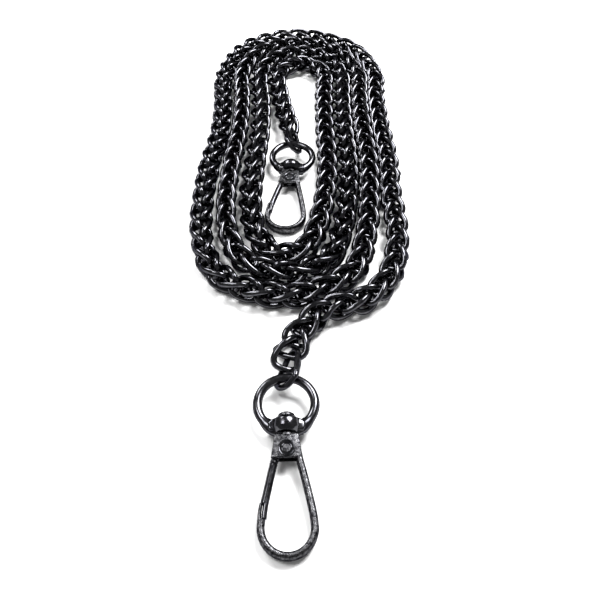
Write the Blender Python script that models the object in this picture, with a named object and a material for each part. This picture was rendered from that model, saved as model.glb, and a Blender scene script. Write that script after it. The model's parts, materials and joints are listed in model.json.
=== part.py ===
"""Chain lanyard: a woven wire chain laid in an oval coil, with a swivel snap hook on each end.

Units are metres, +Z is up, the lanyard lies on the plane z = 0.  Lengths written in
millimetres are multiplied by MM where they enter Blender.

A clip's own frame: origin at the centre of the swivel hub, +Y along the swivel axis
towards the ring, +Z out of the hook's front face.
"""
import math

import bmesh
import bpy
from mathutils import Matrix, Vector

MM = 0.001

# ---- driving dimensions, millimetres -------------------------------------------------
CHAIN_RADIUS = 2.9            # plain stand-in for the woven chain
STRETCH_GAP = 0.45            # between the end faces of neighbouring chain stretches
LINK_WIRE = 0.62              # radius of the wire that the links are bent from
LINK_LENGTH = 10.1            # end link, between the centres of its two end bends
LINK_HALF_WIDTH = 2.6         # end link, centre line
PLAY = 0.18                   # slack left between two pieces that hang in each other

RING_RADIUS = 6.35            # swivel ring, centre line
RING_WIRE = 1.05
RING_CENTRE_Y = 5.35
RING_TOP_Y = RING_CENTRE_Y + RING_RADIUS
HUB_RADIUS = 3.15
HUB_HALF = 1.75
HUB_BORE = 1.02
HUB_CONE_START = -0.55        # the hub tapers from here towards the hook
HUB_CONE_RADIUS = 1.95

POST_RADIUS = 0.95            # swivel post, cast in one with the hook body
POST_PLAY = 0.1               # end play of the hub on the post
HEAD_RADIUS = 1.9
HEAD_TOP = 3.0
NECK_RADIUS = 1.72

PLATE_HALF = 1.4              # half the hook's thickness
PLATE_TOP_Y = -2.15
PLATE_TOP_HALF_WIDTH = 2.5
PLATE_FOOT_Y = -7.35          # upper edge of the hook's opening
PLATE_FOOT_HALF_WIDTH = 3.3
BOW_CENTRE_Y = -21.0          # centre of the round bottom of the hook
BOW_OUTER = 6.1
BOW_INNER = 4.45
OPENING_TOP_HALF_WIDTH = 1.95
LIMB_MID_Y = -14.3
LIMB_MID_OUTER = 5.05
LIMB_MID_INNER = 3.4
NOSE_Y = -18.9                # shoulder that the closed gate rests against
NOSE_TIP_Y = -16.6            # top of the nose's thin outer lap
NOSE_LAP = 0.6                # thickness of that lap
EDGE_ROUND = 0.66             # rounding of the hook's edges

PIVOT_Y = -5.35               # gate rivet
SLOT_HALF = 0.8               # slot in the plate that the gate's eye turns in
SLOT_TOP_Y = -3.4
SLOT_RIGHT_X = 1.95
EYE_RADIUS = 1.72
EYE_BOTTOM = -0.72
EYE_TOP = -0.02
GATE_HALF = 0.95              # half the thickness of the gate's arm
GATE_CLEARANCE = 0.15
RIVET_SHANK = 1.2
RIVET_HOLE = 1.27
RIVET_FLANGE = 1.85
RIVET_BORE = 0.7
SEAT_RADIUS = 1.93            # shallow seat that the rivet's rim lies in
SEAT_DEPTH = 0.05

SPRING_WIRE = 0.15
SPRING_RADIUS = 1.45
SPRING_BASE = 0.2
SPRING_PITCH = 0.32
SPRING_TURNS = 1.25
SPRING_START = math.radians(-115)
SPRING_GATE_LEG = (-1.45, -0.5, 0.0)
SPRING_WALL_LEG = (0.36, 0.78, 0.0)

# ---- where the pieces lie -----------------------------------------------------------
HUB_HEIGHT = 3.2
CLIP_PITCH = math.radians(3.6)        # the hook's bow rests on the surface
NEAR_HUB = Vector((-2.4, -75.3, HUB_HEIGHT))
NEAR_CLIP_YAW = math.radians(1.5)
FAR_HUB = Vector((-2.3, 13.9, HUB_HEIGHT))
FAR_CLIP_YAW = math.radians(-4.0)
LINK_PITCH = math.radians(-4.0)
NEAR_LINK_YAW = math.radians(-10.5)
NEAR_LOOP_YAW = math.radians(-20.0)
NEAR_LINK_ROLL = math.radians(-62.0)
FAR_LINK_YAW = math.radians(8.5)
FAR_LOOP_YAW = math.radians(10.0)
FAR_LINK_ROLL = math.radians(66.0)
LOOP_TO_CHAIN = 5.6           # last loop's outer bend to the start of the plain chain

# One lap of the oval, clockwise from its left shoulder.  INNER_LAP is the first lap and
# OUTER_LAP the fourth; the laps between are spaced evenly.
INNER_LAP = (
    (-8.2, 68.0), (-5.0, 75.5), (1.0, 78.6), (6.9, 75.2), (9.4, 68.0),
    (9.0, 55.0), (8.8, 37.0), (9.2, 17.0), (8.2, 2.0),
    (5.7, -12.0), (2.5, -20.5), (-2.5, -23.8), (-8.5, -21.2), (-12.6, -13.0),
    (-14.2, 0.0), (-13.7, 17.0), (-12.9, 33.0), (-13.4, 51.0),
)
OUTER_LAP = (
    (-27.7, 70.0), (-20.0, 91.0), (0.0, 100.4), (20.2, 90.0), (28.1, 70.0),
    (27.6, 55.0), (27.7, 37.0), (28.5, 17.0), (27.8, 2.0),
    (26.1, -16.0), (19.5, -36.0), (-2.5, -45.6), (-25.5, -37.6), (-33.7, -21.0),
    (-35.3, 0.0), (-34.9, 17.0), (-33.0, 33.0), (-33.3, 52.0),
)
LAPS = 3                      # full laps between the first and the last
LAST_STATION = 8              # the fourth lap ends after this station
FAR_LEAD = ((-5.2, 46.0), (-7.0, 57.0))
NEAR_LEAD = (
    (28.0, -12.0), (27.4, -20.0), (25.4, -28.5), (22.0, -35.0), (17.0, -39.6),
    (11.5, -41.4), (6.8, -42.8), (3.9, -45.6), (1.9, -48.6),
)
SIDES = (("top", -1, 5), ("right", 5, 8), ("bottom", 8, 14), ("left", 14, 17))
BEND_SPACING = 7.5            # between a bend's points in the first lap
BEND_SPACING_STEP = 2.5       # added for each lap further out
STRAIGHT_SPACING = 27.0


# ---- scene, materials and objects -----------------------------------------------------
def clear_scene():
    for item in list(bpy.data.objects):
        bpy.data.objects.remove(item, do_unlink=True)


def make_material(name, colour, roughness, metallic=1.0):
    material = bpy.data.materials.new(name)
    material.use_nodes = True
    shader = material.node_tree.nodes["Principled BSDF"]
    shader.inputs["Base Color"].default_value = (*colour, 1.0)
    shader.inputs["Roughness"].default_value = roughness
    shader.inputs["Metallic"].default_value = metallic
    material.diffuse_color = (*colour, 1.0)
    return material


def add_object(name, data, material=None, parent=None, location=(0, 0, 0)):
    item = bpy.data.objects.new(name, data)
    bpy.context.scene.collection.objects.link(item)
    item.parent = parent
    item.location = Vector(location) * MM
    if material:
        item.data.materials.clear()
        item.data.materials.append(material)
    return item


def mesh_from(bm, name, smooth_angle=math.radians(35)):
    bmesh.ops.remove_doubles(bm, verts=bm.verts, dist=1e-7)
    bmesh.ops.recalc_face_normals(bm, faces=bm.faces)
    for face in bm.faces:
        face.smooth = True
    for edge in bm.edges:
        edge.smooth = len(edge.link_faces) == 2 and edge.calc_face_angle(0.0) < smooth_angle
    mesh = bpy.data.meshes.new(name)
    bm.to_mesh(mesh)
    bm.free()
    return mesh


# ---- shapes ----------------------------------------------------------------------------
def turned(name, profile, turn=Matrix(), steps=36):
    """Revolve a closed (radius, height) outline, in millimetres, about Z, then turn it."""
    bm = bmesh.new()
    verts = [bm.verts.new((radius * MM, 0.0, height * MM)) for radius, height in profile]
    edges = [bm.edges.new((verts[i], verts[(i + 1) % len(verts)])) for i in range(len(verts))]
    bmesh.ops.spin(bm, geom=verts + edges, cent=(0, 0, 0), axis=(0, 0, 1),
                   angle=math.tau, steps=steps, use_merge=True)
    bmesh.ops.remove_doubles(bm, verts=bm.verts, dist=1e-7)
    loose = [edge for edge in bm.edges if not edge.link_faces]
    bmesh.ops.delete(bm, geom=loose, context="EDGES")
    bmesh.ops.transform(bm, matrix=turn, verts=bm.verts)
    return mesh_from(bm, name)


def extruded(name, outline, bottom, top):
    """A flat plate with the given outline, in millimetres, between two heights."""
    bm = bmesh.new()
    base = bm.faces.new([bm.verts.new((x * MM, y * MM, bottom * MM)) for x, y in outline])
    upper = bmesh.ops.extrude_face_region(bm, geom=[base])
    lifted = [item for item in upper["geom"] if isinstance(item, bmesh.types.BMVert)]
    bmesh.ops.translate(bm, verts=lifted, vec=(0, 0, (top - bottom) * MM))
    return mesh_from(bm, name)


def arc(centre, radius, start, end, count):
    """Points of an arc, angles in degrees, end points included."""
    angles = [math.radians(start + (end - start) * i / (count - 1)) for i in range(count)]
    return [(centre[0] + radius * math.cos(a), centre[1] + radius * math.sin(a)) for a in angles]


def wire(name, points, radius, closed, sides=2):
    """A round wire through points in millimetres."""
    curve = bpy.data.curves.new(name, "CURVE")
    curve.dimensions = "3D"
    curve.bevel_depth = radius * MM
    curve.bevel_resolution = sides
    curve.use_fill_caps = not closed
    spline = curve.splines.new("POLY")
    spline.points.add(len(points) - 1)
    for spot, point in zip(spline.points, points):
        spot.co = (*(Vector(point) * MM), 1.0)
    spline.use_cyclic_u = closed
    spline.use_smooth = True
    return curve


def combined(name, base, *steps):
    """Boolean results as one mesh: each step is (operation, mesh)."""
    body = add_object("blank", base)
    tools = []
    for operation, data in steps:
        tool = add_object("tool", data)
        tools.append(tool)
        modifier = body.modifiers.new(operation, "BOOLEAN")
        modifier.operation = operation
        modifier.solver = "EXACT"
        modifier.object = tool
    bpy.context.view_layer.update()
    graph = bpy.context.evaluated_depsgraph_get()
    mesh = bpy.data.meshes.new_from_object(body.evaluated_get(graph))
    for item in [body] + tools:
        bpy.data.objects.remove(item, do_unlink=True)
    bm = bmesh.new()
    bm.from_mesh(mesh)
    bmesh.ops.dissolve_degenerate(bm, dist=1e-6, edges=bm.edges)
    bpy.data.meshes.remove(mesh)
    return mesh_from(bm, name)


def as_mesh(data):
    """Mesh of a curve's swept shape."""
    item = add_object("blank", data)
    bpy.context.view_layer.update()
    graph = bpy.context.evaluated_depsgraph_get()
    mesh = bpy.data.meshes.new_from_object(item.evaluated_get(graph))
    bpy.data.objects.remove(item, do_unlink=True)
    return mesh


def rounded(mesh, width, segments):
    """The mesh with its sharp edges rounded, width in millimetres."""
    item = add_object("blank", mesh)
    bevel = item.modifiers.new("edges", "BEVEL")
    bevel.width = width * MM
    bevel.segments = segments
    bevel.limit_method = "ANGLE"
    bevel.angle_limit = math.radians(50)
    bevel.use_clamp_overlap = True
    bpy.context.view_layer.update()
    graph = bpy.context.evaluated_depsgraph_get()
    result = bpy.data.meshes.new_from_object(item.evaluated_get(graph))
    bpy.data.objects.remove(item, do_unlink=True)
    return result


# ---- the clip's pieces, in the clip's frame ---------------------------------------------
ALONG_Y = Matrix.Rotation(math.radians(-90), 4, "X")     # turns a lathe's +Z to +Y
AT_PIVOT = Vector((0.0, PIVOT_Y, 0.0))


def ring_mesh():
    """Round eye of thick wire that runs into a bored hub; origin at the top of the eye."""
    hub = turned("hub", (
        (HUB_BORE, HUB_HALF), (HUB_RADIUS - 0.35, HUB_HALF), (HUB_RADIUS, HUB_HALF - 0.3),
        (HUB_RADIUS, HUB_CONE_START), (HUB_RADIUS - 0.3, HUB_CONE_START - 0.35),
        (HUB_CONE_RADIUS, -HUB_HALF), (HUB_BORE, -HUB_HALF),
    ), ALONG_Y)
    sweep = math.degrees(math.asin(2.0 / RING_RADIUS))
    centre_line = arc((0.0, RING_CENTRE_Y), RING_RADIUS, -90 + sweep, 270 - sweep, 41)
    eye = as_mesh(wire("eye", [(x, y, 0.0) for x, y in centre_line], RING_WIRE, False, 4))
    mesh = combined("swivel_ring", hub, ("UNION", eye))
    mesh.transform(Matrix.Translation((0.0, -RING_TOP_Y * MM, 0.0)))
    return mesh


def rivet_hole():
    """Cutter for the gate rivet's hole, with a shallow seat for its rim on each face."""
    seat = PLATE_HALF - SEAT_DEPTH
    tool = turned("hole", (
        (0.0, -3.0), (SEAT_RADIUS, -3.0), (SEAT_RADIUS, -seat), (RIVET_HOLE, -seat),
        (RIVET_HOLE, seat), (SEAT_RADIUS, seat), (SEAT_RADIUS, 3.0), (0.0, 3.0),
    ))
    tool.transform(Matrix.Translation(AT_PIVOT * MM))
    return tool


def right_limb(outer):
    """Points down the right limb's outer or inner edge, above the bow."""
    if outer:
        return [(PLATE_TOP_HALF_WIDTH, PLATE_TOP_Y), (PLATE_FOOT_HALF_WIDTH, PLATE_FOOT_Y),
                (4.25, -11.0), (LIMB_MID_OUTER, LIMB_MID_Y), (5.75, -17.8)]
    return [(4.1, -17.8), (LIMB_MID_INNER, LIMB_MID_Y), (2.65, -11.0), (2.2, -8.6)]


def hook_mesh():
    """Teardrop plate with the swivel post, the gate's slot and the nose."""
    outline = right_limb(True)
    outline += arc((0.0, BOW_CENTRE_Y), BOW_OUTER, 15, -190, 25)
    outline += [(-6.02, NOSE_Y), (-5.55, NOSE_TIP_Y), (-5.55 + NOSE_LAP, NOSE_TIP_Y)]
    outline += [(-6.0 + NOSE_LAP, NOSE_Y - 0.1), (-4.45, NOSE_Y - 0.25)]
    outline += arc((0.0, BOW_CENTRE_Y), BOW_INNER, -200, 20, 25)
    outline += right_limb(False)
    outline += [(OPENING_TOP_HALF_WIDTH - 0.3, PLATE_FOOT_Y), (-PLATE_FOOT_HALF_WIDTH, PLATE_FOOT_Y)]
    outline += [(-PLATE_TOP_HALF_WIDTH, PLATE_TOP_Y)]
    plate = rounded(extruded("plate", outline, -PLATE_HALF, PLATE_HALF), EDGE_ROUND, 3)
    post = turned("post", (
        (0.0, PLATE_TOP_Y - 0.9), (NECK_RADIUS - 0.35, PLATE_TOP_Y - 0.9),
        (NECK_RADIUS, PLATE_TOP_Y - 0.3), (NECK_RADIUS, -HUB_HALF - POST_PLAY),
        (POST_RADIUS, -HUB_HALF - POST_PLAY), (POST_RADIUS, HUB_HALF + POST_PLAY),
        (HEAD_RADIUS, HUB_HALF + POST_PLAY), (HEAD_RADIUS, HEAD_TOP - 0.45),
        (HEAD_RADIUS - 0.5, HEAD_TOP - 0.05), (1.0, HEAD_TOP), (0.8, HEAD_TOP - 0.3),
        (0.0, HEAD_TOP - 0.3),
    ), ALONG_Y)
    slot = extruded("slot", (
        (-6.0, PLATE_FOOT_Y - 1.0), (SLOT_RIGHT_X, PLATE_FOOT_Y - 1.0),
        (SLOT_RIGHT_X, SLOT_TOP_Y), (-6.0, SLOT_TOP_Y),
    ), -SLOT_HALF, SLOT_HALF)
    return combined("hook_body", plate, ("UNION", post), ("DIFFERENCE", slot),
                    ("DIFFERENCE", rivet_hole()))


def gate_mesh():
    """Spring gate: a flat eye on the rivet and a thicker arm; origin on the rivet's axis."""
    eye = arc((AT_PIVOT.x, AT_PIVOT.y), EYE_RADIUS, -35, 165, 16)
    eye += [(-3.0, PLATE_FOOT_Y + 0.3), (-3.45, -8.6), (-2.2, -9.2), (-1.2, -7.6)]
    arm = [
        (-3.42, PLATE_FOOT_Y - GATE_CLEARANCE - 0.1), (-4.3, -11.0), (-5.1, LIMB_MID_Y),
        (-5.5, NOSE_TIP_Y + 0.25), (-4.8, NOSE_TIP_Y + 0.1), (-5.2, NOSE_Y + 0.15),
        (-4.25, NOSE_Y + 0.1), (-3.85, NOSE_TIP_Y), (-3.4, LIMB_MID_Y), (-2.65, -11.0),
        (-1.75, PLATE_FOOT_Y - 0.75),
    ]
    thin = extruded("eye", eye, EYE_BOTTOM, EYE_TOP)
    thick = rounded(extruded("arm", arm, -GATE_HALF, GATE_HALF), 0.35, 2)
    mesh = combined("gate", thin, ("UNION", thick), ("DIFFERENCE", rivet_hole()))
    mesh.transform(Matrix.Translation(-AT_PIVOT * MM))
    return mesh


def rivet_mesh():
    """Tubular rivet with a rolled rim on each face; origin on its axis."""
    under = PLATE_HALF + 0.05
    half = (
        (RIVET_SHANK, under), (RIVET_FLANGE, under), (RIVET_FLANGE, under + 0.12),
        (RIVET_FLANGE - 0.22, under + 0.34), (1.36, under + 0.26), (1.22, under + 0.16),
        (1.06, under + 0.28), (0.86, under + 0.22), (RIVET_BORE, under),
    )
    lower = [(radius, -height) for radius, height in reversed(half)]
    return turned("gate_rivet", tuple(half) + tuple(lower), steps=28)


def spring_curve():
    """Torsion spring: a coil round the rivet, one leg over the gate, one on the slot's wall."""
    steps = 20
    coil = []
    for i in range(steps + 1):
        angle = SPRING_START + math.tau * SPRING_TURNS * i / steps
        height = SPRING_BASE + SPRING_PITCH * SPRING_TURNS * i / steps
        coil.append(Vector((SPRING_RADIUS * math.cos(angle), SPRING_RADIUS * math.sin(angle), height)))
    gate_leg = coil[0] + Vector(SPRING_GATE_LEG)
    wall_leg = coil[-1] + Vector(SPRING_WALL_LEG)
    return wire("gate_spring", [gate_leg] + coil + [wall_leg], SPRING_WIRE, False, 1)


# ---- the chain --------------------------------------------------------------------------
def closed_loop(corners, steps):
    """Smooth closed curve through flat corner points, as 3-D points."""
    count = len(corners)
    points = []
    for i in range(count):
        a, b, c, d = (Vector((*corners[(i + j - 1) % count], 0.0)) for j in range(4))
        points += [catmull(a, b, c, d, k / steps) for k in range(steps)]
    return points


def catmull(a, b, c, d, t):
    """Point between b and c on the Catmull-Rom curve through a, b, c, d."""
    return 0.5 * ((2 * b) + (c - a) * t + (2 * a - 5 * b + 4 * c - d) * t * t
                  + (3 * b - a - 3 * c + d) * t * t * t)


def end_link_curve():
    """Long closed link; origin on the wire of the loop that it hangs in."""
    top = LINK_WIRE * 2 + PLAY
    bottom = top - LINK_LENGTH
    radius = LINK_HALF_WIDTH
    points = arc((0.0, top - radius), radius, 0, 180, 11)
    points += arc((0.0, bottom + radius), radius, 180, 360, 11)
    return wire("end_link", [(x, y, 0.0) for x, y in points], LINK_WIRE, True)


def last_loop_curve():
    """The chain's last woven loop, where it opens out; origin on its outer bend."""
    half = [(0.0, 0.0), (1.9, 0.25), (3.2, 1.5), (2.9, 3.1), (1.5, 4.3)]
    corners = half + [(0.0, 4.6)] + [(-x, y) for x, y in reversed(half[1:])]
    return wire("last_loop", closed_loop(corners, 3), LINK_WIRE, True)


def heading(yaw, pitch=0.0):
    """Direction of a piece's +Y after a pitch about X and a yaw about Z."""
    return Matrix.Rotation(yaw, 3, "Z") @ Matrix.Rotation(pitch, 3, "X") @ Vector((0, 1, 0))


def ring_top(hub, yaw):
    return hub + heading(yaw, CLIP_PITCH) * RING_TOP_Y


def link_pivot(hub, clip_yaw, link_yaw):
    """Centre of the last loop's wire inside the end link."""
    reach = LINK_LENGTH - RING_WIRE - LINK_WIRE * 3 - PLAY * 2
    return ring_top(hub, clip_yaw) + heading(link_yaw, LINK_PITCH) * reach


def chain_points():
    """Every route point, and the index of each lap's first station."""
    far_end = (link_pivot(FAR_HUB, FAR_CLIP_YAW, FAR_LINK_YAW)
               + heading(FAR_LOOP_YAW) * LOOP_TO_CHAIN)
    near_end = (link_pivot(NEAR_HUB, NEAR_CLIP_YAW, NEAR_LINK_YAW)
                + heading(NEAR_LOOP_YAW) * LOOP_TO_CHAIN)
    flat = list(FAR_LEAD)
    first = []
    for lap in range(LAPS + 1):
        first.append(len(flat) + 1)
        for station, (inner, outer) in enumerate(zip(INNER_LAP, OUTER_LAP)):
            if lap == LAPS and station > LAST_STATION:
                break
            flat.append(Vector(inner).lerp(Vector(outer), lap / LAPS))
    flat += list(NEAR_LEAD)
    route = [Vector((x, y, CHAIN_RADIUS)) for x, y in flat]
    return [far_end] + route + [near_end], first


def span(route, start, end, spacing):
    """Evenly spaced points of the smooth route between two of its points."""
    fine = []
    for i in range(start, end):
        before = route[max(i - 1, 0)]
        after = route[min(i + 2, len(route) - 1)]
        fine += [catmull(before, route[i], route[i + 1], after, k / 12) for k in range(12)]
    fine.append(route[end])
    run = [0.0]
    for a, b in zip(fine, fine[1:]):
        run.append(run[-1] + (b - a).length)
    count = max(2, math.ceil((run[-1] - STRETCH_GAP) / spacing))
    points = []
    at = 0
    for i in range(count + 1):
        wanted = STRETCH_GAP / 2 + (run[-1] - STRETCH_GAP) * i / count
        while run[at + 1] < wanted:
            at += 1
        share = (wanted - run[at]) / (run[at + 1] - run[at])
        points.append(fine[at].lerp(fine[at + 1], share))
    return points


def build_chain(material):
    route, first = chain_points()
    stretches = [("chain_far_lead", 0, first[0] - 1, BEND_SPACING)]
    for lap, base in enumerate(first):
        for side, start, end in SIDES[:2] if lap == LAPS else SIDES:
            bend = BEND_SPACING + BEND_SPACING_STEP * lap
            spacing = bend if side in ("top", "bottom") else STRAIGHT_SPACING
            stretches.append((f"chain_lap_{lap + 1}_{side}", base + start, base + end, spacing))
    stretches.append(("chain_near_lead", first[-1] + LAST_STATION, len(route) - 1, BEND_SPACING))
    for name, start, end, spacing in stretches:
        add_object(name, wire(name, span(route, start, end, spacing), CHAIN_RADIUS, False, 3), material)


# ---- assembly -----------------------------------------------------------------------------
def build_end(side, hub, clip_yaw, link_yaw, link_roll, loop_yaw, shapes, materials):
    """One clip with its end link and the loop that it hangs in."""
    frame = add_object(f"{side}_clip_frame", None, location=hub)
    frame.rotation_mode = "YXZ"
    frame.rotation_euler = (CLIP_PITCH, 0.0, clip_yaw)
    wire_finish, cast, steel = materials
    add_object(f"{side}_swivel_ring", shapes["ring"], wire_finish, frame, (0, RING_TOP_Y, 0))
    add_object(f"{side}_hook_body", shapes["hook"], cast, frame)
    add_object(f"{side}_gate", shapes["gate"], wire_finish, frame, AT_PIVOT)
    add_object(f"{side}_gate_rivet", shapes["rivet"], wire_finish, frame, AT_PIVOT)
    add_object(f"{side}_gate_spring", shapes["spring"], steel, frame, AT_PIVOT)
    pivot = link_pivot(hub, clip_yaw, link_yaw)
    link = add_object(f"{side}_end_link", shapes["link"], wire_finish, location=pivot)
    link.rotation_mode = "YXZ"
    link.rotation_euler = (LINK_PITCH, link_roll, link_yaw)
    loop = add_object(f"{side}_last_loop", shapes["loop"], wire_finish, location=pivot)
    loop.rotation_euler = (0.0, 0.0, loop_yaw)


def main():
    clear_scene()
    wire_finish = make_material("black_nickel", (0.045, 0.045, 0.05), 0.22)
    cast = make_material("cast_black_nickel", (0.07, 0.07, 0.075), 0.42)
    steel = make_material("spring_steel", (0.35, 0.35, 0.36), 0.3)
    shapes = {
        "ring": ring_mesh(), "hook": hook_mesh(), "gate": gate_mesh(), "rivet": rivet_mesh(),
        "spring": spring_curve(), "link": end_link_curve(), "loop": last_loop_curve(),
    }
    materials = (wire_finish, cast, steel)
    build_end("near", NEAR_HUB, NEAR_CLIP_YAW, NEAR_LINK_YAW, NEAR_LINK_ROLL, NEAR_LOOP_YAW,
              shapes, materials)
    build_end("far", FAR_HUB, FAR_CLIP_YAW, FAR_LINK_YAW, FAR_LINK_ROLL, FAR_LOOP_YAW,
              shapes, materials)
    build_chain(wire_finish)


main()
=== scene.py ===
"""Chain lanyard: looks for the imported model.

A woven wire chain lies in an oval coil, with a swivel snap hook at each end.  Lengths are
in metres, except where a clip or a link is drawn in millimetres.  The chain's own frame:
s runs along the chain from the near clip to the far one, x is across it to the right, z is
out of its face.
"""
import json
import math

import bmesh
import bpy
import numpy as np
from mathutils import Matrix, Vector

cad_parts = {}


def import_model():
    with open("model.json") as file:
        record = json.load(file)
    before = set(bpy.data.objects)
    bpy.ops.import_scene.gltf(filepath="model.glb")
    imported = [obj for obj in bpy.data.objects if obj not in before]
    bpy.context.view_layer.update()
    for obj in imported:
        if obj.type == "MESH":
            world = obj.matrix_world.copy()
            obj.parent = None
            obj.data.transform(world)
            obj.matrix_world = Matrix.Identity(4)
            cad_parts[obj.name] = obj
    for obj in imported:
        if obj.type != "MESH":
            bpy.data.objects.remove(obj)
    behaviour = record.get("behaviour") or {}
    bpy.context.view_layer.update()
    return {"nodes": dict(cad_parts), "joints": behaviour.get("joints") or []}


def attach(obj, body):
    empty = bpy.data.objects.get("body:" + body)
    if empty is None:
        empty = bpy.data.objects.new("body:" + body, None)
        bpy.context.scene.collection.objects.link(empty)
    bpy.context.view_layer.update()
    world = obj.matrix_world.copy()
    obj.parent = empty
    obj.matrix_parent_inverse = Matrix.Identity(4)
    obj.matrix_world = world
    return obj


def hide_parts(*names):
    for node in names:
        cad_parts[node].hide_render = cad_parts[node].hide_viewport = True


MM = 0.001

# ---- route of the chain, as in the CAD -------------------------------------------------
CHAIN_HEIGHT = 0.0029         # of the chain's line, before it is settled on the floor
INNER_LAP = (
    (-0.0082, 0.0680), (-0.0050, 0.0755), (0.0010, 0.0786), (0.0069, 0.0752), (0.0094, 0.0680),
    (0.0090, 0.0550), (0.0088, 0.0370), (0.0092, 0.0170), (0.0082, 0.0020),
    (0.0057, -0.0120), (0.0025, -0.0205), (-0.0025, -0.0238), (-0.0085, -0.0212),
    (-0.0126, -0.0130), (-0.0142, 0.0000), (-0.0137, 0.0170), (-0.0129, 0.0330),
    (-0.0134, 0.0510),
)
OUTER_LAP = (
    (-0.0277, 0.0700), (-0.0200, 0.0910), (0.0000, 0.1004), (0.0202, 0.0900), (0.0281, 0.0700),
    (0.0276, 0.0550), (0.0277, 0.0370), (0.0285, 0.0170), (0.0278, 0.0020),
    (0.0261, -0.0160), (0.0195, -0.0360), (-0.0025, -0.0456), (-0.0255, -0.0376),
    (-0.0337, -0.0210), (-0.0353, 0.0000), (-0.0349, 0.0170), (-0.0330, 0.0330),
    (-0.0333, 0.0520),
)
LAPS = 3                      # full laps, from the inner outline to the outer one
LAST_STATION = 8              # station of the outer outline where the last half lap ends
SIDE_STATIONS = (             # the station in the middle of each side
    ("top", 2), ("right", 6), ("bottom", 11), ("left", 16),
)
FAR_LEAD = ((-0.0052, 0.0460), (-0.0070, 0.0570))
NEAR_LEAD = (
    (0.0280, -0.0120), (0.0274, -0.0200), (0.0254, -0.0285), (0.0220, -0.0350),
    (0.0170, -0.0396), (0.0115, -0.0414), (0.0068, -0.0428), (0.0039, -0.0456),
    (0.0019, -0.0486),
)
LOOP_TO_CHAIN = 0.0056        # from an end link's pivot to the start of the plain route
NEAR_LOOP_YAW = math.radians(-20.0)
FAR_LOOP_YAW = math.radians(10.0)
SPAN_STEPS = 24               # curve steps from one point of the route to the next
FINE_STEP = 0.00025           # spacing of the finished line's points

# Roll of the chain's face about its own line, in degrees, at the middle of each side of
# each lap, in the order far end to near end.
ROLLS = (
    ("far", -45), ("1top", -20), ("1right", 0), ("1bottom", 0), ("1left", -45),
    ("2top", -45), ("2right", -45), ("2bottom", -86), ("2left", -90),
    ("3top", -48), ("3right", -3), ("3bottom", 0), ("3left", 13),
    ("4top", 3), ("4right", 22), ("near", 0),
)
ROLL_REACH = 60               # fine steps each way over which a change of roll is spread
LIFT_REACH = 40               # the same for a change of height
END_RUN = 0.012               # over which each end goes from its pivot's height to the chain's

# ---- clips; their own sizes are in millimetres -----------------------------------------
CLIP_PITCH = math.radians(3.6)
NEAR_HUB = (-0.0024, -0.0753, 0.0032)
NEAR_CLIP_YAW = math.radians(1.5)
FAR_HUB = (-0.0023, 0.0139, 0.0032)
FAR_CLIP_YAW = math.radians(-4.0)
RING_RADIUS = 6.35            # of the ring's centre line
RING_CENTRE = 5.35            # above the hub's centre
RING_WIRE = 1.05              # radius
RING_STEPS = 96
YOKE_HALF = 1.55              # half thickness of the plate between ring and hub
CHEEK_HALF = 1.4              # half thickness of the hook's plate
SLOT_HALF = 0.8               # half width of the slot between its cheeks
LOOP_SECTION = (0.8, 1.36)    # half width and half thickness of the hook's bar
BOW_RADIUS = 5.27
BOW_CENTRE = -21.0            # below the hub's centre
RIVET_PLACE = (0.0, -5.35, 0.0)
END_LINK_LENGTH = 10.1        # of its centre line, end to end
END_LINK_WIRE = 0.7           # radius
END_LINK_BEND = 2.6           # height of the wide bend, which holds the ring
END_LINK_STEPS = 6            # curve steps from one point of an end link to the next
BAR_SIDES = 20
EDGE_STEPS = 4                # in a slab's rounded edge
CRISP = math.radians(40)      # edges sharper than this are not smoothed

# ---- one woven link --------------------------------------------------------------------
WIRE = 0.8 * MM               # radius
PITCH = 3.5 * MM              # from one link to the next, which is its mirror image
LINK_HALF = (                 # half of one link, from its round end to its narrow end: x, z, s
    (0.0, 0.0, 0.0), (-1.4, 0.1, 0.15), (-2.35, 0.55, 0.95), (-2.55, 1.15, 2.2),
    (-2.2, 1.75, 3.7), (-1.65, 2.1, 5.2), (-1.05, 2.2, 6.4), (-0.5, 1.95, 7.45),
    (-0.15, 1.15, 8.2),
)
LINK_TOP = (0.0, 0.0, 8.5)
LINK_LENGTH = LINK_TOP[2] * MM
LOOP_STEPS = 2                # curve steps from one point of a link to the next
WIRE_SIDES = 8
OPENED = {0: 1.1, 1: 1.5, 2: 1.1}        # widening of the first links, at the near end
FIRST_LINK = -4.0 * MM        # the first link hangs this far past the near pivot
NEAR_SLACK = (-0.7 * MM, 0.0, 0.0)       # and the line ends to the left of it
LAST_REACH = 3.5 * MM         # the last link runs this far past the far pivot
UNEVEN_ROLL = math.radians(2.5)          # spread of the links' own roll
UNEVEN_STEP = 0.06 * MM       # and of their places along the line
SEED = 4

# ---- setting ---------------------------------------------------------------------------
FLOOR_HALF = 3.0
CAMERA_PLACE = (0.0005, -0.135, 0.1166)
CAMERA_TILT = math.radians(39.99)        # from straight down
CAMERA_LENS = 34.98           # focal length in millimetres, on a sensor 36 wide
SOFTBOXES = (                 # name, place, width and height, watts
    ("key_softbox", (0.25, 0.28, 0.56), (0.3, 0.3), 11.0),
    ("left_softbox", (-0.3, 0.02, 0.58), (0.2, 0.2), 2.5),
    ("back_left_softbox", (-0.5, 0.64, 0.58), (0.3, 0.25), 7.0),
)


def catmull(a, b, c, d, t):
    """Point between b and c on the Catmull-Rom curve through a, b, c, d."""
    return 0.5 * ((2 * b) + (c - a) * t + (2 * a - 5 * b + 4 * c - d) * t * t
                  + (3 * b - a - 3 * c + d) * t * t * t)


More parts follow.
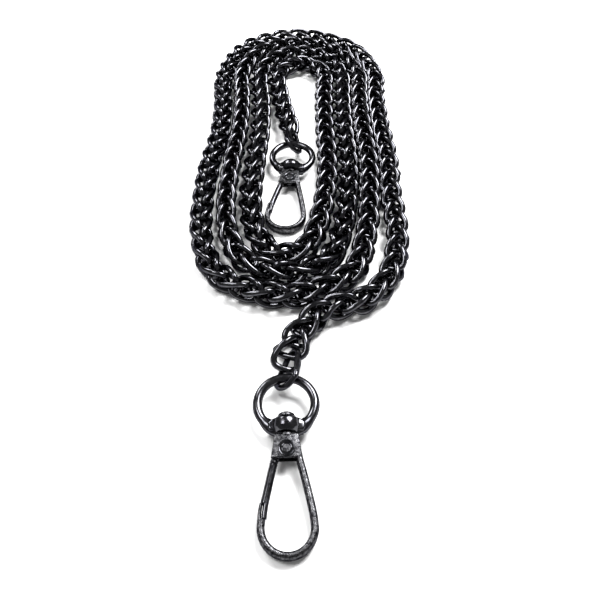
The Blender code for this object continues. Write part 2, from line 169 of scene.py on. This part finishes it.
def route(near_pivot, far_pivot):
    """The chain's line from the near pivot to the far one: points, run and roll at each."""
    flat = list(FAR_LEAD)
    marks = {"far": 1}        # places of the roll's keys, counted in points of the line
    for lap in range(LAPS + 1):
        first = len(flat) + 2
        for side, station in SIDE_STATIONS:
            if lap < LAPS or station <= LAST_STATION:
                marks[f"{lap + 1}{side}"] = first + station
        for station, (inner, outer) in enumerate(zip(INNER_LAP, OUTER_LAP)):
            if lap == LAPS and station > LAST_STATION:
                break
            flat.append(tuple(Vector(inner).lerp(Vector(outer), lap / LAPS)))
    flat += list(NEAR_LEAD)
    marks["near"] = len(flat) - 2

    far_way = np.array((-math.sin(FAR_LOOP_YAW), math.cos(FAR_LOOP_YAW), 0.0))
    near_way = np.array((-math.sin(NEAR_LOOP_YAW), math.cos(NEAR_LOOP_YAW), 0.0))
    start = np.array(far_pivot)
    end = np.array(near_pivot) + NEAR_SLACK
    points = [np.array((x, y, CHAIN_HEIGHT)) for x, y in flat]
    line = [start, start + far_way * LOOP_TO_CHAIN, *points, end + near_way * LOOP_TO_CHAIN, end]

    curve = []
    where = []
    for i in range(len(line) - 1):
        before, after = line[max(i - 1, 0)], line[min(i + 2, len(line) - 1)]
        for k in range(SPAN_STEPS):
            curve.append(catmull(before, line[i], line[i + 1], after, k / SPAN_STEPS))
            where.append(i + k / SPAN_STEPS)
    curve.append(line[-1])
    where.append(len(line) - 1)
    fine = np.array(curve)[::-1]         # the near end comes first from here on
    run = np.concatenate([[0], np.cumsum(np.linalg.norm(np.diff(fine, axis=0), axis=1))])
    even = np.linspace(0, run[-1], int(run[-1] / FINE_STEP) + 1)
    path = np.stack([np.interp(even, run, fine[:, k]) for k in range(3)], axis=1)
    places = np.interp(even, run, np.array(where)[::-1])
    spots = [marks[name] for name, _ in ROLLS]
    angles = [math.radians(angle) for _, angle in ROLLS]
    return path, even, smoothed(np.interp(places, spots, angles), ROLL_REACH)


def smoothed(values, reach):
    """Running average over reach values each way, weighted towards the middle."""
    kernel = np.hanning(2 * reach + 1)
    padded = np.pad(values, reach, mode="edge")
    return np.convolve(padded, kernel / kernel.sum(), mode="valid")


class Strand:
    """Frames along the chain's line."""

    def __init__(self, near_pivot, far_pivot):
        self.path, self.run, self.roll = route(near_pivot, far_pivot)
        self.settle()
        along = np.gradient(self.path, axis=0)
        self.along = along / np.linalg.norm(along, axis=1)[:, None]
        across = np.cross(self.along, (0.0, 0.0, 1.0))
        self.across = across / np.linalg.norm(across, axis=1)[:, None]
        self.out = np.cross(self.across, self.along)
        self.length = float(self.run[-1])

    def settle(self):
        """Lifts the line until the rolled chain just touches the floor along its run."""
        x, z, _ = link_line(False).T
        plain = np.abs(np.outer(np.sin(self.roll), x) + np.outer(np.cos(self.roll), z))
        mirror = np.abs(np.outer(np.sin(self.roll), -x) + np.outer(np.cos(self.roll), z))
        height = np.maximum(plain.max(axis=1), mirror.max(axis=1)) + WIRE
        from_end = np.minimum(self.run, self.run[-1] - self.run)
        inwards = np.clip(from_end / END_RUN, 0, 1)
        share = inwards * inwards * (3 - 2 * inwards)
        self.path[:, 2] = self.path[:, 2] * (1 - share) + smoothed(height, LIFT_REACH) * share

    def at(self, values, s):
        """Values of one of the strand's vectors at the runs s."""
        return np.stack([np.interp(s, self.run, values[:, k]) for k in range(3)], axis=1)

    def place(self, x, z, s):
        """World points of chain coordinates."""
        roll = np.interp(s, self.run, self.roll)
        inside = np.clip(s, 0, self.length)
        beyond = (s - inside)[:, None] * self.at(self.along, inside)
        side = (x * np.cos(roll) - z * np.sin(roll))[:, None] * self.at(self.across, inside)
        lift = (x * np.sin(roll) + z * np.cos(roll))[:, None] * self.at(self.out, inside)
        return self.at(self.path, inside) + beyond + side + lift


def link_line(mirrored):
    """Closed line of one link in chain coordinates, metres."""
    rest = [(-x, -z, s) for x, z, s in reversed(LINK_HALF[1:])]
    corners = np.array(list(LINK_HALF) + [LINK_TOP] + rest) * MM
    count = len(corners)
    line = []
    for i in range(count):
        a, b, c, d = (corners[(i + j - 1) % count] for j in range(4))
        line += [catmull(a, b, c, d, k / LOOP_STEPS) for k in range(LOOP_STEPS)]
    line = np.array(line)
    if mirrored:
        line[:, 0] *= -1
    return line


def tube(line, radius, sides):
    """Vertices and quads of a closed tube round a closed line."""
    count = len(line)
    along = np.roll(line, -1, axis=0) - np.roll(line, 1, axis=0)
    along /= np.linalg.norm(along, axis=1)[:, None]
    side = np.zeros_like(line)
    ref = np.cross(along[0], (0.31, 0.74, 0.59))         # any direction off the line
    for i in range(count):
        ref = ref - along[i] * ref.dot(along[i])
        ref /= np.linalg.norm(ref)
        side[i] = ref
    last = side[-1] - along[0] * side[-1].dot(along[0])
    last /= np.linalg.norm(last)
    # The twist left over after one round is shared out, so that the ends meet.
    drift = math.atan2(np.cross(last, side[0]).dot(along[0]), last.dot(side[0]))
    verts = []
    for i in range(count):
        other = np.cross(along[i], side[i])
        turn = drift * i / count
        for k in range(sides):
            angle = math.tau * k / sides + turn
            verts.append(line[i] + radius * (math.cos(angle) * side[i] + math.sin(angle) * other))
    faces = []
    for i in range(count):
        j = (i + 1) % count
        for k in range(sides):
            m = (k + 1) % sides
            faces.append((i * sides + k, j * sides + k, j * sides + m, i * sides + m))
    return verts, faces


def woven_chain(strand, material):
    """Every link of the chain as one mesh."""
    reach = strand.length - FIRST_LINK - LINK_LENGTH + LAST_REACH
    number = round(reach / PITCH) + 1
    pitch = reach / (number - 1)
    shapes = (link_line(False), link_line(True))
    jitter = np.random.default_rng(SEED)
    verts = []
    faces = []
    for i in range(number):
        shape = shapes[i % 2].copy()
        shape[:, 0] *= OPENED.get(i, 1.0)
        tilt = jitter.normal(0, UNEVEN_ROLL)
        x = shape[:, 0] * math.cos(tilt) - shape[:, 1] * math.sin(tilt)
        z = shape[:, 0] * math.sin(tilt) + shape[:, 1] * math.cos(tilt)
        s = shape[:, 2] + FIRST_LINK + pitch * i + jitter.normal(0, UNEVEN_STEP)
        line = strand.place(x, z, s)
        some, quads = tube(line, WIRE, WIRE_SIDES)
        faces += [tuple(len(verts) + v for v in quad) for quad in quads]
        verts += some
    mesh = bpy.data.meshes.new("woven_chain")
    mesh.from_pydata([tuple(v) for v in verts], [], faces)
    mesh.polygons.foreach_set("use_smooth", [True] * len(mesh.polygons))
    mesh.update()
    return add_piece("woven_chain", mesh, material)


# ---- objects and materials -------------------------------------------------------------
def add_piece(name, data, material=None):
    """Object in the scene, with its material if it has one."""
    item = bpy.data.objects.new(name, data)
    bpy.context.scene.collection.objects.link(item)
    if material:
        data.materials.clear()
        data.materials.append(material)
    return item


def metal(name, dark, light, rough_low, rough_high, grain, bump):
    """Plated metal: cloudy tint, uneven polish and fine surface relief."""
    material = bpy.data.materials.new(name)
    material.use_nodes = True
    tree = material.node_tree
    shader = tree.nodes["Principled BSDF"]
    shader.inputs["Metallic"].default_value = 1.0
    shader.inputs["Specular Tint"].default_value = (0.35, 0.35, 0.36, 1.0)
    place = tree.nodes.new("ShaderNodeTexCoord")

    def noise(scale, detail):
        node = tree.nodes.new("ShaderNodeTexNoise")
        node.inputs["Scale"].default_value = scale
        node.inputs["Detail"].default_value = detail
        tree.links.new(place.outputs["Object"], node.inputs["Vector"])
        return node.outputs["Fac"]

    tint = tree.nodes.new("ShaderNodeValToRGB")
    tint.color_ramp.elements[0].position = 0.35
    tint.color_ramp.elements[1].position = 0.68
    tint.color_ramp.elements[0].color = (*dark, 1.0)
    tint.color_ramp.elements[1].color = (*light, 1.0)
    tree.links.new(noise(grain * 0.6, 4.0), tint.inputs["Fac"])
    tree.links.new(tint.outputs["Color"], shader.inputs["Base Color"])
    polish = tree.nodes.new("ShaderNodeMapRange")
    polish.inputs["From Min"].default_value = 0.35
    polish.inputs["From Max"].default_value = 0.65
    polish.inputs["To Min"].default_value = rough_low
    polish.inputs["To Max"].default_value = rough_high
    tree.links.new(noise(grain, 5.0), polish.inputs["Value"])
    tree.links.new(polish.outputs["Result"], shader.inputs["Roughness"])
    relief = tree.nodes.new("ShaderNodeBump")
    relief.inputs["Strength"].default_value = bump
    relief.inputs["Distance"].default_value = 0.0001
    tree.links.new(noise(grain * 2.2, 3.0), relief.inputs["Height"])
    tree.links.new(relief.outputs["Normal"], shader.inputs["Normal"])
    return material


# ---- clip, in millimetres in its own frame: +Y to the ring, +Z out of its front face ---
def finished(bm, name, place, material):
    """Object from a mesh drawn in millimetres, smooth except at its crisp edges."""
    bmesh.ops.recalc_face_normals(bm, faces=bm.faces)
    for face in bm.faces:
        face.smooth = True
    for edge in bm.edges:
        edge.smooth = edge.calc_face_angle(0.0) < CRISP
    bm.transform(place @ Matrix.Scale(MM, 4))
    mesh = bpy.data.meshes.new(name)
    bm.to_mesh(mesh)
    bm.free()
    return add_piece(name, mesh, material)


def skin(bm, rings, closed=False):
    """Quads between rings of points; the ends are capped unless the row of rings closes."""
    rows = [[bm.verts.new(point) for point in ring] for ring in rings]
    count = len(rows[0])
    pairs = list(zip(rows, rows[1:] + rows[:1] if closed else rows[1:]))
    for row, following in pairs:
        for k in range(count):
            m = (k + 1) % count
            bm.faces.new((row[k], row[m], following[m], following[k]))
    if not closed:
        bm.faces.new(rows[0])
        bm.faces.new(rows[-1])


def turned(bm, profile, centre, axis, steps=40):
    """Solid of revolution; profile is (radius, distance along the axis)."""
    turn = Matrix.Rotation(-math.pi / 2, 4, "X") if axis == "Y" else Matrix.Identity(4)
    rings = []
    for radius, height in profile:
        ring = [Vector((radius * math.cos(math.tau * k / steps),
                        radius * math.sin(math.tau * k / steps), height)) for k in range(steps)]
        rings.append([turn @ point + Vector(centre) for point in ring])
    skin(bm, rings)


def swept(bm, line, sections, power, closed=False):
    """Bar along a line in the XY plane; sections are (half width, half thickness).

    A section is an ellipse at power 2 and squarer above that.
    """
    rings = []
    count = len(line)
    for i, (point, (width, thick)) in enumerate(zip(line, sections)):
        ahead = line[(i + 1) % count] if closed or i < count - 1 else line[i]
        behind = line[i - 1] if closed or i > 0 else line[i]
        along = (ahead - behind).normalized()
        side = along.cross(Vector((0, 0, 1)))
        ring = []
        for k in range(BAR_SIDES):
            angle = math.tau * k / BAR_SIDES
            cos, sin = math.cos(angle), math.sin(angle)
            a = width * math.copysign(abs(cos) ** (2 / power), cos)
            b = thick * math.copysign(abs(sin) ** (2 / power), sin)
            ring.append(point + side * a + Vector((0, 0, b)))
        rings.append(ring)
    skin(bm, rings, closed)


def inset(outline, depth):
    """Outline moved inwards, corner by corner; it runs anticlockwise."""
    moved = []
    count = len(outline)
    for i, corner in enumerate(outline):
        before = (corner - outline[i - 1]).normalized()
        after = (outline[(i + 1) % count] - corner).normalized()
        inward = Vector((-before.y - after.y, before.x + after.x))
        moved.append(corner + inward * (depth / (1 + before.dot(after))))
    return moved


def slab(bm, outline, inner, outer, edge):
    """Plate from the height inner to the height outer, its outer edge rounded."""
    way = math.copysign(1, outer - inner)
    levels = [(0.0, inner), (0.0, outer - way * edge)]
    for k in range(1, EDGE_STEPS + 1):
        angle = math.pi / 2 * k / EDGE_STEPS
        levels.append((edge * (1 - math.cos(angle)), outer - way * edge * (1 - math.sin(angle))))
    skin(bm, [[point.to_3d() + Vector((0, 0, z)) for point in inset(outline, depth)]
              for depth, z in levels])


def smooth_line(corners, steps):
    """Open curve through the corners."""
    line = []
    for i in range(len(corners) - 1):
        a, d = corners[max(i - 1, 0)], corners[min(i + 2, len(corners) - 1)]
        line += [catmull(a, corners[i], corners[i + 1], d, k / steps) for k in range(steps)]
    return line + [corners[-1]]


def ring_bars(bm):
    """Swivel ring, thicker where it is pinched into the hub, with its yoke and bored hub."""
    line = []
    sections = []
    for k in range(RING_STEPS):
        angle = math.tau * k / RING_STEPS
        line.append(Vector((RING_RADIUS * math.sin(angle),
                            RING_CENTRE - RING_RADIUS * math.cos(angle), 0.0)))
        # It thickens from 53 degrees off the hub and is at its thickest from 32.
        pinch = min(1.0, max(0.0, math.cos(angle) - 0.6) / 0.25)
        sections.append((RING_WIRE + 0.6 * pinch, RING_WIRE + 0.2 * pinch))
    swept(bm, line, sections, power=2.0, closed=True)
    yoke = [Vector(p) for p in ((-3.6, -1.5), (3.6, -1.5), (4.0, -0.9), (4.0, 0.5), (3.0, 1.25),
                                (2.0, 1.72), (-2.0, 1.72), (-3.0, 1.25), (-4.0, 0.5),
                                (-4.0, -0.9))]
    slab(bm, yoke, 0.0, YOKE_HALF, 0.5)
    slab(bm, yoke, 0.0, -YOKE_HALF, 0.5)
    hub = ((1.02, 1.75), (2.25, 1.75), (2.45, 1.68), (2.98, 1.1), (3.1, 0.95), (3.15, 0.75),
           (3.15, -0.7), (3.1, -0.85), (2.98, -1.0), (2.5, -1.62), (2.3, -1.75), (1.02, -1.75))
    turned(bm, hub, (0, 0, 0), "Y", steps=48)


def hook_bars(bm):
    """Hook body: slotted plate, swivel post with its head, open loop and the nose's lap."""
    plate = [Vector(p) for p in ((-3.3, -7.35), (3.3, -7.35), (2.6, -2.4), (2.3, -2.15),
                                 (-2.3, -2.15), (-2.6, -2.4))]
    slab(bm, plate, SLOT_HALF, CHEEK_HALF, 0.28)
    slab(bm, plate, -SLOT_HALF, -CHEEK_HALF, 0.28)
    spine = [Vector(p) for p in ((1.95, -7.3), (3.27, -7.3), (2.6, -2.4), (2.3, -2.15),
                                 (-2.3, -2.15), (-2.45, -3.0), (1.95, -3.4))]
    slab(bm, spine, -0.82, 0.82, 0.02)
    post = ((1.72, -2.5), (1.72, -2.0), (1.6, -1.87), (0.95, -1.85), (0.95, 1.85), (1.7, 1.86),
            (1.88, 2.0), (1.9, 2.3), (1.8, 2.6), (1.45, 2.86), (0.8, 2.98), (0.1, 3.0))
    turned(bm, post, (0, 0, 0), "Y")
    corners = [Vector(p) for p in ((2.5, -6.4, 0), (2.68, -7.6, 0), (3.4, -10.6, 0),
                                   (4.22, -14.3, 0), (4.95, -18.0, 0))]
    for k in range(13):
        angle = math.radians(-15.0 * k)
        corners.append(Vector((BOW_RADIUS * math.cos(angle),
                               BOW_CENTRE + BOW_RADIUS * math.sin(angle), 0)))
    corners += [Vector((-5.22, -20.2, 0)), Vector((-5.15, -19.5, 0))]
    line = smooth_line(corners, 5)
    swept(bm, line, [LOOP_SECTION] * len(line), power=2.5)
    lap = smooth_line([Vector(p) for p in ((-5.55, -20.2, 0), (-5.56, -19.2, 0), (-5.5, -18.0, 0),
                                           (-5.34, -16.9, 0), (-5.25, -16.45, 0))], 4)
    thinning = [k / len(lap) for k in range(len(lap))]
    swept(bm, lap, [(0.37 - 0.07 * share, 1.2 - 0.3 * share) for share in thinning], power=3.0)


def gate_bars(bm):
    """Gate: eye on the rivet, ribbed neck, round arm and the tongue inside the nose's lap."""
    eye = ((1.27, -0.7), (1.6, -0.7), (1.72, -0.58), (1.72, -0.16), (1.6, -0.04), (1.27, -0.04))
    turned(bm, eye, RIVET_PLACE, "Z")
    corners = [Vector(p) for p in ((-1.7, -6.2, 0), (-2.45, -7.4, 0), (-2.75, -8.3, 0),
                                   (-3.3, -10.6, 0), (-4.1, -14.3, 0), (-4.6, -16.5, 0))]
    line = smooth_line(corners, 12)
    sections = []
    for i in range(len(line)):
        share = i / (len(line) - 1)
        swell = 0.07 * math.sin(i * 1.3) if 10 < i < 26 else 0.0         # the neck's ribs
        taper = min(1.0, 0.72 + share * 2.2, 0.9 + (1 - share) * 3.2)    # at both ends
        sections.append(((0.76 + 0.1 * share) * taper + swell, 0.9 * taper + swell))
    swept(bm, line, sections, power=2.1)
    tongue = smooth_line([Vector(p) for p in ((-4.1, -15.4, 0), (-4.28, -16.45, 0),
                                              (-4.5, -18.0, 0), (-4.63, -19.2, 0))], 4)
    swept(bm, tongue, [(0.54, 0.85)] * len(tongue), power=2.6)


def rivet_bars(bm):
    """Hollow rivet with a dished, double-rimmed head on each side."""
    head = ((1.2, 1.2), (1.85, 1.36), (1.85, 1.48), (1.76, 1.58), (1.6, 1.6), (1.44, 1.52),
            (1.36, 1.42), (1.24, 1.42), (1.14, 1.54), (0.98, 1.58), (0.84, 1.5), (0.72, 1.2),
            (0.4, 0.5), (0.05, 0.2))
    for way in (1, -1):
        turned(bm, [(radius, way * height) for radius, height in head], RIVET_PLACE, "Z")
    turned(bm, ((1.2, -1.3), (1.2, 1.3)), RIVET_PLACE, "Z")


def add_clip(side, hub, yaw, polished, cast):
    """The clip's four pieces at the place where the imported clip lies."""
    place = (Matrix.Translation(hub) @ Matrix.Rotation(yaw, 4, "Z")
             @ Matrix.Rotation(CLIP_PITCH, 4, "X"))
    for word, draw, finish, body, node in (
            ("ring_and_hub", ring_bars, polished, "ring", "swivel_ring"),
            ("hook", hook_bars, cast, "hook", "hook_body"),
            ("gate_arm", gate_bars, polished, "gate", "gate"),
            ("rivet", rivet_bars, polished, "hook", "gate_rivet")):
        bm = bmesh.new()
        draw(bm)
        item = finished(bm, f"{side}_{word}", place, finish)
        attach(item, f"{side}_{body}")
        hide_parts(f"{side}_{node}")


def add_end_link(side, pivot, slack, angles, top, narrow, flare, material):
    """Long link between the ring and the first woven links.

    slack moves it off the pivot and angles are its yaw, pitch and roll in degrees.  Its
    narrow bend has its crown at the height top and the radius narrow; the wide one is
    2 * flare across.
    """
    bottom = top - END_LINK_LENGTH
    corners = []
    for k in range(7):
        angle = math.radians(30.0 * k)
        corners.append((narrow * math.cos(angle), top - narrow + narrow * math.sin(angle)))
    for k in range(7):
        angle = math.radians(180 + 30.0 * k)
        corners.append((flare * math.cos(angle),
                        bottom + END_LINK_BEND + END_LINK_BEND * math.sin(angle)))
    corners = np.array([(x, y, 0.0) for x, y in corners])
    count = len(corners)
    line = np.array([catmull(*(corners[(i + j - 1) % count] for j in range(4)), k / END_LINK_STEPS)
                     for i in range(count) for k in range(END_LINK_STEPS)])
    yaw, pitch, roll = (math.radians(angle) for angle in angles)
    place = (Matrix.Translation(Vector(pivot) + Vector(slack) * MM) @ Matrix.Rotation(yaw, 4, "Z")
             @ Matrix.Rotation(pitch, 4, "X") @ Matrix.Rotation(roll, 4, "Y"))
    verts, faces = tube(line * MM, END_LINK_WIRE * MM, 2 * WIRE_SIDES)
    mesh = bpy.data.meshes.new(f"{side}_long_link")
    mesh.from_pydata([place @ Vector(v) for v in verts], [], faces)
    mesh.polygons.foreach_set("use_smooth", [True] * len(faces))
    item = add_piece(f"{side}_long_link", mesh, material)
    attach(item, f"{side}_link")
    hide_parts(f"{side}_end_link")


# ---- floor, lights and camera ----------------------------------------------------------
def add_floor():
    """Plain pale surface under the lanyard."""
    bm = bmesh.new()
    bmesh.ops.create_grid(bm, x_segments=1, y_segments=1, size=FLOOR_HALF)
    mesh = bpy.data.meshes.new("floor")
    bm.to_mesh(mesh)
    bm.free()
    material = bpy.data.materials.new("floor_white")
    material.use_nodes = True
    shader = material.node_tree.nodes["Principled BSDF"]
    shader.inputs["Base Color"].default_value = (0.86, 0.86, 0.86, 1.0)
    shader.inputs["Roughness"].default_value = 0.9
    shader.inputs["Specular IOR Level"].default_value = 0.1
    floor = add_piece("floor", mesh, material)


def add_softbox(name, place, size, power):
    """Rectangular light facing the middle of the lanyard."""
    data = bpy.data.lights.new(name, "AREA")
    data.shape = "RECTANGLE"
    data.size, data.size_y = size
    data.energy = power
    lamp = add_piece(name, data)
    lamp.location = place
    lamp.rotation_euler = (-Vector(place)).to_track_quat("-Z", "Y").to_euler()


def add_lights():
    """Dim white surroundings and the softboxes."""
    world = bpy.data.worlds.new("studio")
    bpy.context.scene.world = world
    world.use_nodes = True
    backdrop = world.node_tree.nodes["Background"]
    backdrop.inputs["Color"].default_value = (1.0, 1.0, 1.0, 1.0)
    backdrop.inputs["Strength"].default_value = 0.3
    for name, place, size, power in SOFTBOXES:
        add_softbox(name, place, size, power)


def add_camera():
    """Camera nearest the outer clip, looking down at the coil."""
    data = bpy.data.cameras.new("camera")
    data.sensor_width = 36.0
    data.lens = CAMERA_LENS
    data.clip_start = 0.005
    camera = add_piece("camera", data)
    camera.location = CAMERA_PLACE
    camera.rotation_euler = (CAMERA_TILT, 0.0, 0.0)
    bpy.context.scene.camera = camera


# ---- assembly --------------------------------------------------------------------------
def main():
    """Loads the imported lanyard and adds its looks."""
    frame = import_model()
    bpy.context.scene.view_settings.view_transform = "Standard"
    add_camera()
    add_floor()
    add_lights()

    wire = metal("black_nickel_wire", (0.035, 0.035, 0.04), (0.07, 0.07, 0.075),
                 0.1, 0.2, 1500.0, 0.06)
    polished = metal("black_nickel_polished", (0.035, 0.035, 0.04), (0.075, 0.075, 0.08),
                     0.1, 0.22, 900.0, 0.05)
    cast = metal("black_nickel_cast", (0.012, 0.012, 0.014), (0.1, 0.1, 0.105),
                 0.2, 0.38, 2600.0, 0.45)
    steel = metal("spring_wire", (0.25, 0.25, 0.26), (0.4, 0.4, 0.42),
                  0.2, 0.35, 2500.0, 0.1)
    for spring in ("near_gate_spring", "far_gate_spring"):
        slots = frame["nodes"][spring].data.materials
        slots.clear()
        slots.append(steel)

    pivots = {joint["name"]: joint["pos_m"] for joint in frame["joints"]}
    near_pivot = pivots["near_link_swing"]
    far_pivot = pivots["far_link_swing"]
    add_clip("near", NEAR_HUB, NEAR_CLIP_YAW, polished, cast)
    add_clip("far", FAR_HUB, FAR_CLIP_YAW, polished, cast)
    add_end_link("near", near_pivot, (0.39, 0.0, 0.08), (-12.6, -2.0, -49.4),
                 0.89, 2.03, 3.34, wire)
    add_end_link("far", far_pivot, (0.39, 0.0, 0.51), (3.2, 0.1, 47.6),
                 0.82, 2.09, 3.17, wire)
    strand = Strand(near_pivot, far_pivot)
    chain = woven_chain(strand, wire)
    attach(chain, "chain")
    stretches = [name for name in frame["nodes"] if name.startswith("chain_")]
    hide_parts(*stretches, "near_last_loop", "far_last_loop")


main()
